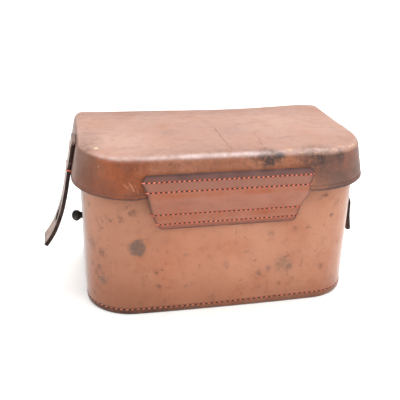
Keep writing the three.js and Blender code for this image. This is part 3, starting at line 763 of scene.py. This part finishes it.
def soften(poly, passes):
    p = poly.copy()
    for _ in range(passes):
        p = 0.5 * p + 0.25 * (np.roll(p, 1, 0) + np.roll(p, -1, 0))
    return p


def area(poly):
    x, y = poly[:, 0], poly[:, 1]
    return 0.5 * float(np.sum(x * np.roll(y, -1) - y * np.roll(x, -1)))


def inward(poly):
    """inward unit normals of a counter-clockwise outline"""
    t = np.roll(poly, -1, 0) - np.roll(poly, 1, 0)
    t /= np.linalg.norm(t, axis=1)[:, None]
    return np.stack([-t[:, 1], t[:, 0]], 1)


def cut_piece(outline, holes, step, place, thick, bevel):
    """a flat cut outline with holes, given thickness and softened edges, then put in space by place(u, v, h).
    Returns vertices, faces and for each vertex its distance in from the nearest edge."""
    rings = [outline if area(outline) > 0 else outline[::-1]]
    rings += [h if area(h) < 0 else h[::-1] for h in holes]
    norms = [inward(r) for r in rings]
    flat, bounds = [], []
    for r, n in zip(rings, norms):
        start = len(flat)
        flat += [tuple(p) for p in r + n * bevel]
        bounds.append((start, len(flat)))
    edges = [(s + i, s + (i + 1) % (e - s)) for s, e in bounds for i in range(e - s)]
    polys = [np.array(flat[s:e]) for s, e in bounds]
    allb = np.concatenate(polys)
    lo, hi = polys[0].min(0), polys[0].max(0)
    nx, ny = int((hi[0] - lo[0]) / step) + 1, int((hi[1] - lo[1]) / step) + 1
    for j in range(ny + 1):
        for i in range(nx + 1):
            p = (lo[0] + i * step, lo[1] + j * step)
            if np.min(np.sum((allb - p) ** 2, 1)) < (0.45 * step) ** 2:
                continue
            if inside(polys[0], p) and not any(inside(h, p) for h in polys[1:]):
                flat.append(p)
    res = geometry.delaunay_2d_cdt([Vector(p) for p in flat], edges, [], 0, 1e-6)
    pts = [tuple(v) for v in res[0]]
    back = {}
    for o, src in enumerate(res[3]):
        for s in src:
            back[s] = o
    tris = []
    for f in res[2]:
        c = tuple(sum(pts[i][k] for i in f) / len(f) for k in (0, 1))
        if inside(polys[0], c) and not any(inside(h, c) for h in polys[1:]):
            tris.append(f)
    used = sorted({i for f in tris for i in f})
    idx = {o: k for k, o in enumerate(used)}
    verts, dist, faces = [], [], []
    full = np.concatenate(rings)
    for side in (1, -1):
        for o in used:
            p = pts[o]
            verts.append(place(p[0], p[1], side * thick / 2))
            dist.append(float(np.sqrt(np.min(np.sum((full - p) ** 2, 1)))))
    n = len(used)
    for f in tris:
        faces.append(tuple(idx[i] for i in f))
        faces.append(tuple(n + idx[i] for i in reversed(f)))
    steps = 3
    for (s, e), r, nn in zip(bounds, rings, norms):
        k = e - s
        chain = [[idx[back[s + i]] for i in range(k)]]
        prof = [(bevel * (1 - math.sin(math.pi / 2 * q / steps)), thick / 2 - bevel * (1 - math.cos(math.pi / 2 * q / steps))) for q in range(1, steps + 1)]
        prof += [(d, -h) for d, h in reversed(prof)]
        for d, h in prof:
            row = []
            for i in range(k):
                p = r[i] + nn[i] * d
                row.append(len(verts))
                verts.append(place(p[0], p[1], h))
                dist.append(d)
            chain.append(row)
        chain.append([n + idx[back[s + i]] for i in range(k)])
        for a, b in zip(chain, chain[1:]):
            for i in range(k):
                j = (i + 1) % k
                faces.append((a[i], a[j], b[j], b[i]))
    return np.array(verts), faces, np.array(dist)


class Path:
    """a polyline with position, direction and normal at a distance along it"""

    def __init__(self, pts, smooth=0, step=0.5):
        p = np.array(pts, float)
        seg = np.linalg.norm(np.diff(p, axis=0), axis=1)
        s = np.concatenate([[0], np.cumsum(seg)])
        n = int(s[-1] / step) + 1
        t = np.linspace(0, s[-1], n)
        q = np.stack([np.interp(t, s, p[:, i]) for i in range(p.shape[1])], 1)
        for _ in range(smooth):
            q[1:-1] = 0.5 * q[1:-1] + 0.25 * (q[:-2] + q[2:])
        self.p = q
        self.s = np.concatenate([[0], np.cumsum(np.linalg.norm(np.diff(q, axis=0), axis=1))])
        self.length = float(self.s[-1])

    def at(self, s):
        e = 0.6
        p = np.array([np.interp(s, self.s, self.p[:, i]) for i in range(2)])
        a = np.array([np.interp(max(0, s - e), self.s, self.p[:, i]) for i in range(2)])
        b = np.array([np.interp(min(self.length, s + e), self.s, self.p[:, i]) for i in range(2)])
        t = (b - a) / max(1e-9, np.linalg.norm(b - a))
        if s < 0:
            p = p + t * s
        if s > self.length:
            p = p + t * (s - self.length)
        return p, t

    def s_of_z(self, z):
        return float(np.interp(-z, -self.p[:, 1], self.s))


# ---------------------------------------------------------------- stitches
def tube(points, radii, nrm, sides=8, flat=1.0):
    pts = [np.array(p, float) for p in points]
    verts, faces = [], []
    for i, p in enumerate(pts):
        a, b = pts[max(0, i - 1)], pts[min(len(pts) - 1, i + 1)]
        t = (b - a) / np.linalg.norm(b - a)
        n = np.array(nrm, float) - t * np.dot(nrm, t)
        n /= np.linalg.norm(n)
        w = np.cross(t, n)
        for k in range(sides):
            ang = 2 * math.pi * k / sides
            verts.append(p + (w * math.cos(ang) + n * math.sin(ang) * flat) * radii[i])
    for i in range(len(pts) - 1):
        for k in range(sides):
            l = (k + 1) % sides
            faces.append((i * sides + k, i * sides + l, (i + 1) * sides + l, (i + 1) * sides + k))
    faces.append(tuple(reversed(range(sides))))
    faces.append(tuple(range((len(pts) - 1) * sides, len(pts) * sides)))
    return verts, faces


class Batch:
    def __init__(self):
        self.v, self.f = [], []

    def add(self, verts, faces):
        k = len(self.v)
        self.v += [tuple(v) for v in verts]
        self.f += [tuple(i + k for i in f) for f in faces]

    def make(self, name, mat, body, replaces=(), slot="thread", blend=None):
        return make(name, self.v, self.f, mat, body, replaces, sharp=0, blend=blend)


def stitch(batch, a, b, nrm, r=0.46, rise=0.34, sink=0.35):
    a, b, nrm = (np.array(v, float) for v in (a, b, nrm))
    pts, rad = [], []
    for i in range(9):
        t = i / 8
        pts.append(a + (b - a) * t + nrm * (-sink + (sink + rise) * math.sin(math.pi * t) ** 0.55))
        rad.append(r * (0.55 + 0.45 * math.sin(math.pi * min(1, max(0, t))) ** 0.4))
    batch.add(*tube(pts, rad, nrm))


def pit(batch, a, b, nrm, r=0.6):
    """the end of a stitch going down into its awl hole, in near-black thread: painted shade in the hole"""
    a, b, nrm = (np.array(v, float) for v in (a, b, nrm))
    pts = [a + (b - a) * t + nrm * (-0.16 + 0.14 * math.sin(math.pi * t)) for t in (0, 0.18, 0.4, 0.6, 0.82, 1)]
    batch.add(*tube(pts, [r * k for k in (0.45, 0.85, 1, 1, 0.85, 0.45)], nrm, 8, 0.75))


def stitch_row(points, normals, pitch, threads, pits, show=0.56, lean=0.2, rise=0.34, rnd=None):
    """points is a dense path along the row on the leather's face; one stitch and one hole a pitch, the hole filled with
    painted shade
    """
    p = np.array(points, float)
    n = np.array(normals, float)
    s = np.concatenate([[0], np.cumsum(np.linalg.norm(np.diff(p, axis=0), axis=1))])
    count = int(round(s[-1] / pitch))
    pitch = s[-1] / count
    at = lambda q: np.array([np.interp(q, s, p[:, i]) for i in range(3)])
    nat = lambda q: np.array([np.interp(q, s, n[:, i]) for i in range(3)])
    rnd = rnd or random.Random(3)
    for i in range(count):
        j = rnd.uniform(-0.12, 0.12)
        s0, s1 = i * pitch + j, i * pitch + pitch * show + j
        a, b = at(max(0, s0)), at(min(s[-1], s1))
        nn = nat(0.5 * (s0 + s1))
        nn = nn / np.linalg.norm(nn)
        across = np.cross(nn, b - a)
        across = across / max(1e-9, np.linalg.norm(across))
        k = lean + rnd.uniform(-0.06, 0.06)
        stitch(threads, a - across * k, b + across * k, nn, r=0.46 + rnd.uniform(-0.03, 0.03), rise=rise)
        c, d = at(min(s[-1], s1 - 0.05)), at(min(s[-1], (i + 1) * pitch + 0.05 + j))
        if np.linalg.norm(d - c) > 0.3:
            pit(pits, c, d, nn)


# base stitching, all round the foot of the wall
P, N = plan(0)
pp = [(x + nx * body_shift(x, y, base_row(x, y)), y + ny * body_shift(x, y, base_row(x, y)), base_row(x, y)) for (x, y), (nx, ny) in zip(P, N)]
nn3 = [(nx, ny, 0) for nx, ny in N]
bt, bp = Batch(), Batch()
stitch_row(pp + pp[:1], nn3 + nn3[:1], 4.0, bt, bp, show=0.55, rnd=random.Random(5))
bt.make("base_stitches", M_THREAD_BASE, "case", ["base_stitching"])
bp.make("base_stitch_holes", M_HOLE, "case")

# crossed stitches over the butt seam of the wall, far side
bt, bp = Batch(), Batch()
z = 10.0
side = 1
while z < 98:
    y = BODY_D / 2 + body_shift(2.4, 54.7, z)
    stitch(bt, (-2.4, y, z), (2.4, y, z + 3.6), (0, 1, 0), r=0.4, rise=0.42)
    for x, zz in ((-2.7, z - 0.1), (2.7, z + 3.7)):
        pit(bp, (x - 0.3, y, zz), (x + 0.3, y, zz), (0, 1, 0), r=0.45)
    z += 3.6
bt.make("wall_seam_stitches", M_THREAD, "case", ["wall_seam_stitching"])
bp.make("wall_seam_stitch_holes", M_HOLE, "case")

# ---------------------------------------------------------------- hinge flap: one piece of leather
FLAP_LEFT = [[108.5, -59.2], [106.6, -61.0], [104.2, -62.6], [103.0, -62.2], [97.25, -59.2], [78.75, -55.1], [71.6, -51.8], [68.4, -50.2], [67.6, -49.1]]
FLAP_RIGHT = [[108.5, 54.6], [106.6, 56.2], [104.2, 56.9], [103.0, 56.4], [97.25, 54.4], [92.5, 54.0], [88.0, 53.3], [83.5, 52.0], [78.75, 50.5], [71.6, 48.6], [68.4, 46.9], [67.6, 45.9]]


def flap_inner(z):
    if z >= EDGE_Z:
        return -(BODY_D / 2 + lid_off(z)) - 0.18
    if z <= 79.5:
        return -BODY_D / 2 - 0.18
    t = (z - 79.5) / (EDGE_Z - 79.5)
    s = 0.6 * t + 0.4 * t * t * (3 - 2 * t)
    return (-BODY_D / 2 - 0.18) * (1 - s) - (BODY_D / 2 + FLARE + 0.18) * s


flap_path = Path([(flap_inner(z), z) for z in np.arange(109.5, 66.4, -0.25)], smooth=12)
out = [(x, flap_path.s_of_z(z)) for z, x in FLAP_LEFT] + [(x, flap_path.s_of_z(z)) for z, x in reversed(FLAP_RIGHT)]
outline = soften(resample(out, 0.8), 3)
ROW_S = [flap_path.s_of_z(z) for z in ROW_Z]


def flap_at(x, s, h):
    p, t = flap_path.at(s)
    n = np.array([t[1], -t[0]])           # outwards: path runs down, face looks to -Y
    if n[0] > 0:
        n = -n
    lift = FLAP_T / 2 + h
    if h > 0:
        for r in ROW_S:
            lift -= 0.38 * gauss(s - r, 0.75)
            lift += 0.1 * gauss(abs(s - r) - 1.7, 0.8)
        lift += 0.16 * wob(x, s, 0, 0.05, 61) + 0.05 * wob(x, s, 0, 0.2, 63)
    lift += 0.22 * wob(x, s, 0, 0.03, 65) if s > ROW_S[1] + 3 and s < ROW_S[2] - 3 else 0.0
    q = p + n * max(lift, 0.05)
    return np.array([x, q[0], q[1]])


V, F, D = cut_piece(outline, [], 1.1, flap_at, FLAP_T, 0.55)
edge, wear_and_highlight = [], []
for v, d in zip(V, D):
    e = 1.0 if d < 0.5 else 0.8 * math.exp(-((d - 0.5) / 0.8))
    zz = v[2]
    if zz > 104.8:
        e = max(e, 0.5)
    edge.append(min(1.0, e * (0.9 + 0.5 * wob(v[0], v[1], zz, 0.1, 71))))
    w = 0.8 * gauss(zz - 94.8, 1.7) + 0.75 * gauss(zz - 76.0, 2.0) + 0.3 * gauss(zz - 69.6, 1.0)
    wear_and_highlight.append(max(0.0, min(1.0, w * (0.75 + 1.1 * wob(v[0], v[1], zz, 0.07, 73)))))
make("hinge_flap", V, F, M_FLAP, "case", ["hinge_flap_upper", "hinge_flap_bend", "hinge_flap_lower"],
     attrs={"edge": edge, "wear_and_highlight": wear_and_highlight}, blend=("case", "lid", (0, -0.0578, 0.0800), (0, -0.0625, 0.0955)))

for i, z in enumerate(ROW_Z):
    s = ROW_S[i]
    left = np.interp(-z, [-a for a, _ in FLAP_LEFT], [x for _, x in FLAP_LEFT]) + (0.8 if i == 0 else 0.0)
    right = np.interp(-z, [-a for a, _ in FLAP_RIGHT], [x for _, x in FLAP_RIGHT]) - (0.4 if i == 0 else 0.0)
    xs = np.linspace(left, right, 90)
    pts = [flap_at(x, s, FLAP_T / 2) for x in xs]
    p, t = flap_path.at(s)
    n = np.array([0, -abs(t[1]), 0.0])
    n = np.array([0, t[1] if t[1] < 0 else -t[1], -t[0] if t[1] < 0 else t[0]])
    n = n / np.linalg.norm(n)
    if n[1] > 0:
        n = -n
    bt, bp = Batch(), Batch()
    stitch_row(pts, [n] * len(pts), 3.4, bt, bp, show=0.5, rnd=random.Random(20 + i))
    # the thread loops over the flap's edge at both ends of the row
    for x_end, sgn in ((left, -1), (right, 1)):
        a = flap_at(x_end - sgn * 0.9, s, FLAP_T / 2) + n * 0.1
        b = flap_at(x_end + sgn * 0.25, s, 0.6) + n * 0.1
        c = flap_at(x_end + sgn * 0.42, s, -0.9)
        bt.add(*tube([a - n * 0.3, a + n * 0.25, b, c], [0.36, 0.42, 0.42, 0.36], n))
    body = "lid" if i < 2 else "case"
    bt.make(f"hinge_stitches_{i + 1}", M_THREAD, body, [f"hinge_stitch_row_{i + 1}"])
    bp.make(f"hinge_stitch_holes_{i + 1}", M_HOLE, body)

# ---------------------------------------------------------------- straps
LEFT_LINE = [(108.6, 93.0), (110.1, 84.5), (111.95, 75.0), (114.2, 66.0), (117.1, 57.5), (120.4, 49.5), (124.2, 42.8), (128.2, 37.2)]
RIGHT_LINE = [(108.6, 93.0), (107.3, 85.0), (106.2, 78.0), (105.7, 71.5), (106.2, 65.8), (108.4, 61.0), (110.0, 57.2), (110.2, 53.0),
              (110.6, 47.0), (111.4, 41.0), (112.2, 36.0), (112.8, 32.4)]


def catmull(pts, n=12):
    p = [np.array(q, float) for q in pts]
    p = [2 * p[0] - p[1]] + p + [2 * p[-1] - p[-2]]
    res = []
    for i in range(1, len(p) - 2):
        for k in range(n):
            t = k / n
            res.append(0.5 * ((2 * p[i]) + (p[i + 1] - p[i - 1]) * t + (2 * p[i - 1] - 5 * p[i] + 4 * p[i + 1] - p[i + 2]) * t * t
                              + (3 * p[i] - p[i - 1] - 3 * p[i + 1] + p[i + 2]) * t ** 3))
    res.append(p[-2])
    return res


def strap(side, line, name):
    tab = [(100 + lid_off(z) + 0.25 + STRAP_T / 2, z) for z in np.arange(117.7 if side < 0 else 115.7, 94.0, -1.0)]
    path = Path(tab + catmull(line)[0:], smooth=6)
    half = STRAP_W / 2

    def at(u, v, h):
        p, t = path.at(v)
        n = np.array([-t[1], t[0]])
        if n[0] < 0:
            n = -n
        cup = 0.25 * (u / half) ** 2 * min(1.0, max(0.0, (v - 26) / 20))
        q = p + n * (h + 0.06 * wob(u, v, side * 9, 0.08, 81) + cup)
        return np.array([side * q[0], u, q[1]])

    # buttonhole 36.9 mm from the pivot, round with a slit above it
    s_piv = path.s_of_z(PIVOT_Z)
    best = min(np.arange(s_piv, path.length, 0.05), key=lambda s: abs(np.hypot(path.at(s)[0][0] - PIVOT_X, path.at(s)[0][1] - PIVOT_Z) - 36.9))
    hole = []
    r, sw, sl = 4.6, 0.6, 14.5
    a0 = math.asin(2.2 / r)
    for k in range(30):
        a = -math.pi / 2 + a0 + (2 * math.pi - 2 * a0) * k / 29
        hole.append((r * math.cos(a), best + r * math.sin(a)))
    hole += [(-2.1, best - r - 1.0), (-1.5, best - r - 3.5), (-sw, best - sl), (0.0, best - sl - 0.5), (sw, best - sl), (1.5, best - r - 3.5), (2.1, best - r - 1.0)]
    hole = np.array(hole)
    L0 = path.length
    out = [(-half + 0.5, 0.0), (half - 0.5, 0.0), (half, 0.5), (half, L0 - 0.7), (half - 0.7, L0), (-half + 0.7, L0), (-half, L0 - 0.7), (-half, 0.5)]
    outline = soften(resample(out, 0.9), 1)
    V, F, D = cut_piece(outline, [hole], 1.25, at, STRAP_T, 0.4)
    edge, wear_and_highlight = [], []
    for v, d in zip(V, D):
        z = v[2]
        e = 1.0 if d < 0.39 else 0.95 * math.exp(-((d - 0.39) / 1.3) ** 2)
        top = min(1.0, max(0.0, (z - 115.2) / 0.6))
        edge.append(max(0.0, e * (1 - 0.72 * top)))
        wear_and_highlight.append(0.62 * top if d < 1.2 else 0.25 * top)
    make(f"strap_{name}_leather", V, F, M_STRAP, "lid", [f"strap_{name}", f"strap_tab_{name}"],
         attrs={"edge": edge, "wear_and_highlight": wear_and_highlight}, blend=("lid", f"{name}_strap", (side * 0.1083, 0, 0.0952), (side * 0.1088, 0, 0.0905)))
    for where, z in (("upper", 111.0), ("lower", 96.3)):
        s = path.s_of_z(z)
        ys = np.linspace(-half + 0.4, half - 0.4, 40)
        pts = [at(y, s, STRAP_T / 2) for y in ys]
        a, b = at(0, s, 1.0), at(0, s, 0.0)
        n = (a - b) / np.linalg.norm(a - b)
        bt, bp = Batch(), Batch()
        stitch_row(pts, [n] * len(pts), 3.4, bt, bp, rise=-0.12, rnd=random.Random(40))
        if where == "lower":
            for sg in (-1, 1):   # over the edge
                q = [at(sg * (half - 1.2), s, STRAP_T / 2 - 0.2), at(sg * (half - 0.6), s, STRAP_T / 2 + 0.35), at(sg * (half + 0.28), s, STRAP_T / 2 - 0.1),
                     at(sg * (half + 0.36), s, 0), at(sg * (half + 0.28), s, -STRAP_T / 2 + 0.1), at(sg * (half - 0.5), s, -STRAP_T / 2 + 0.1)]
                bt.add(*tube(q, [0.4, 0.46, 0.5, 0.5, 0.46, 0.4], (0, sg, 0.01)))
        bt.make(f"strap_{name}_stitches_{where}", M_THREAD, "lid", [f"strap_stitching_{where}_{name}"])
        bp.make(f"strap_{name}_stitch_holes_{where}", M_HOLE, "lid")


strap(-1, LEFT_LINE, "left")
strap(1, RIGHT_LINE, "right")


# ---------------------------------------------------------------- studs
STUD_PROFILE = [(2.2, 100.6), (2.3, 101.0), (2.6, 101.6), (3.05, 102.2), (3.55, 102.9), (3.95, 103.6), (4.15, 104.3), (4.2, 104.9), (4.08, 105.6),
                (3.75, 106.3), (3.2, 106.95), (2.5, 107.5), (1.6, 107.9), (0.8, 108.08), (0.0, 108.12)]


def turned(name, profile, side, mat, replaces, sides=48, dents=0.0):
    verts, faces = [], []
    for r, x in profile:
        for k in range(sides):
            a = 2 * math.pi * k / sides
            rr = max(r, 0.001)
            p = [side * x, rr * math.cos(a), STUD_Z + rr * math.sin(a)]
            if dents:
                d = dents * wob(p[0], p[1], p[2], 0.35, 91)
                p = [p[0], rr * (1 + d) * math.cos(a), STUD_Z + rr * (1 + d) * math.sin(a)]
            verts.append(p)
    n = len(profile)
    for i in range(n - 1):
        for k in range(sides):
            l = (k + 1) % sides
            faces.append((i * sides + k, i * sides + l, (i + 1) * sides + l, (i + 1) * sides + k))
    faces.append(tuple(range(sides)))
    faces.append(tuple(range((n - 1) * sides, n * sides)))
    return make(name, verts, faces, mat, "case", replaces, sharp=45)


for side, name in ((-1, "left"), (1, "right")):
    prof = [(2.6, 99.7), (2.6, 100.1), (2.4, 100.35)] + STUD_PROFILE
    turned(f"stud_{name}_ball", prof, side, M_BLACK, [f"stud_{name}"], dents=0.012)
    w1 = 96.85
    turned(f"stud_{name}_washer", [(1.7, w1), (3.8, w1), (4.0, w1 - 0.2), (4.0, w1 - 0.6), (3.8, w1 - 0.8), (1.7, w1 - 0.8)], side, M_BRASS,
           [f"stud_washer_{name}"])
    s1 = 96.0
    prof = [(0.0, 99.6), (1.1, 99.6), (1.1, s1), (2.9, s1), (3.0, s1 - 0.3), (2.8, s1 - 0.9), (2.2, s1 - 1.35), (1.2, s1 - 1.6), (0.5, s1 - 1.66)]
    screw = turned(f"stud_{name}_screw", prof, side, M_BRASS, [f"stud_screw_{name}"])
    bar = bmesh.new()      # slot across the head
    bmesh.ops.create_cube(bar, size=1.0)
    bmesh.ops.scale(bar, vec=(0.0016, 0.0075, 0.0006), verts=bar.verts)
    bmesh.ops.translate(bar, vec=(side * (s1 - 1.5) * 0.001, 0, STUD_Z * 0.001), verts=bar.verts)
    me = bpy.data.meshes.new("slot_cutter")
    bar.to_mesh(me)
    bar.free()
    cutter = bpy.data.objects.new("slot_cutter", me)
    scene.collection.objects.link(cutter)
    mod = screw.modifiers.new("slot", "BOOLEAN")
    mod.operation = "DIFFERENCE"
    mod.object = cutter
    mod.solver = "EXACT"
    dg = bpy.context.evaluated_depsgraph_get()
    done = bpy.data.meshes.new_from_object(screw.evaluated_get(dg))
    screw.modifiers.clear()
    screw.data = done
    bpy.data.objects.remove(cutter)

# ---------------------------------------------------------------- floor, light, camera
mf = Mat("floor")
mf.finish(srgb(252, 252, 251), 0.7, None, Specular_IOR_Level=0.2)
me = bpy.data.meshes.new("floor")
R = 4.0
me.from_pydata([(R * math.cos(2 * math.pi * i / 64), R * math.sin(2 * math.pi * i / 64), 0) for i in range(64)], [], [tuple(range(64))])
me.materials.append(mf.m)
floor = bpy.data.objects.new("floor", me)
scene.collection.objects.link(floor)

world = bpy.data.worlds.new("studio")
scene.world = world
world.use_nodes = True
bg = world.node_tree.nodes["Background"]
bg.inputs[0].default_value = (1.0, 0.995, 0.985, 1)
bg.inputs[1].default_value = 1.0


def area_light(name, loc, target, size, power, colour=(1, 1, 1)):
    l = bpy.data.lights.new(name, "AREA")
    l.shape = "RECTANGLE"
    l.size, l.size_y = size
    l.energy = power
    l.color = colour
    o = bpy.data.objects.new(name, l)
    o.location = loc
    o.rotation_euler = (Vector(target) - Vector(loc)).to_track_quat("-Z", "Y").to_euler()
    scene.collection.objects.link(o)
    return o


area_light("key", (0.5, -0.6, 1.3), (0, 0, 0.05), (1.1, 1.1), 8.5)
area_light("fill", (-1.0, -0.45, 0.75), (-0.1, 0, 0.03), (0.8, 0.8), 4.4)
area_light("top", (0.1, 0.5, 1.3), (0, 0, 0.05), (1.3, 1.0), 12.0)

yaw, pitch, roll = 0.2136, 0.4121, 0.0256
fwd = Vector((math.sin(yaw) * math.cos(pitch), math.cos(yaw) * math.cos(pitch), -math.sin(pitch)))
right = Vector((math.cos(yaw), -math.sin(yaw), 0))
up = right.cross(fwd)
r2 = math.cos(roll) * right + math.sin(roll) * up
u2 = -math.sin(roll) * right + math.cos(roll) * up
cam = bpy.data.cameras.new("camera")
cam.sensor_width = 36.0
cam.lens = 57.918
camera = bpy.data.objects.new("camera", cam)
m = Matrix(((r2.x, u2.x, -fwd.x, -0.107003), (r2.y, u2.y, -fwd.y, -0.447620), (r2.z, u2.z, -fwd.z, 0.262833), (0, 0, 0, 1)))
camera.matrix_world = m
scene.collection.objects.link(camera)
scene.camera = camera

bpy.context.view_layer.update()
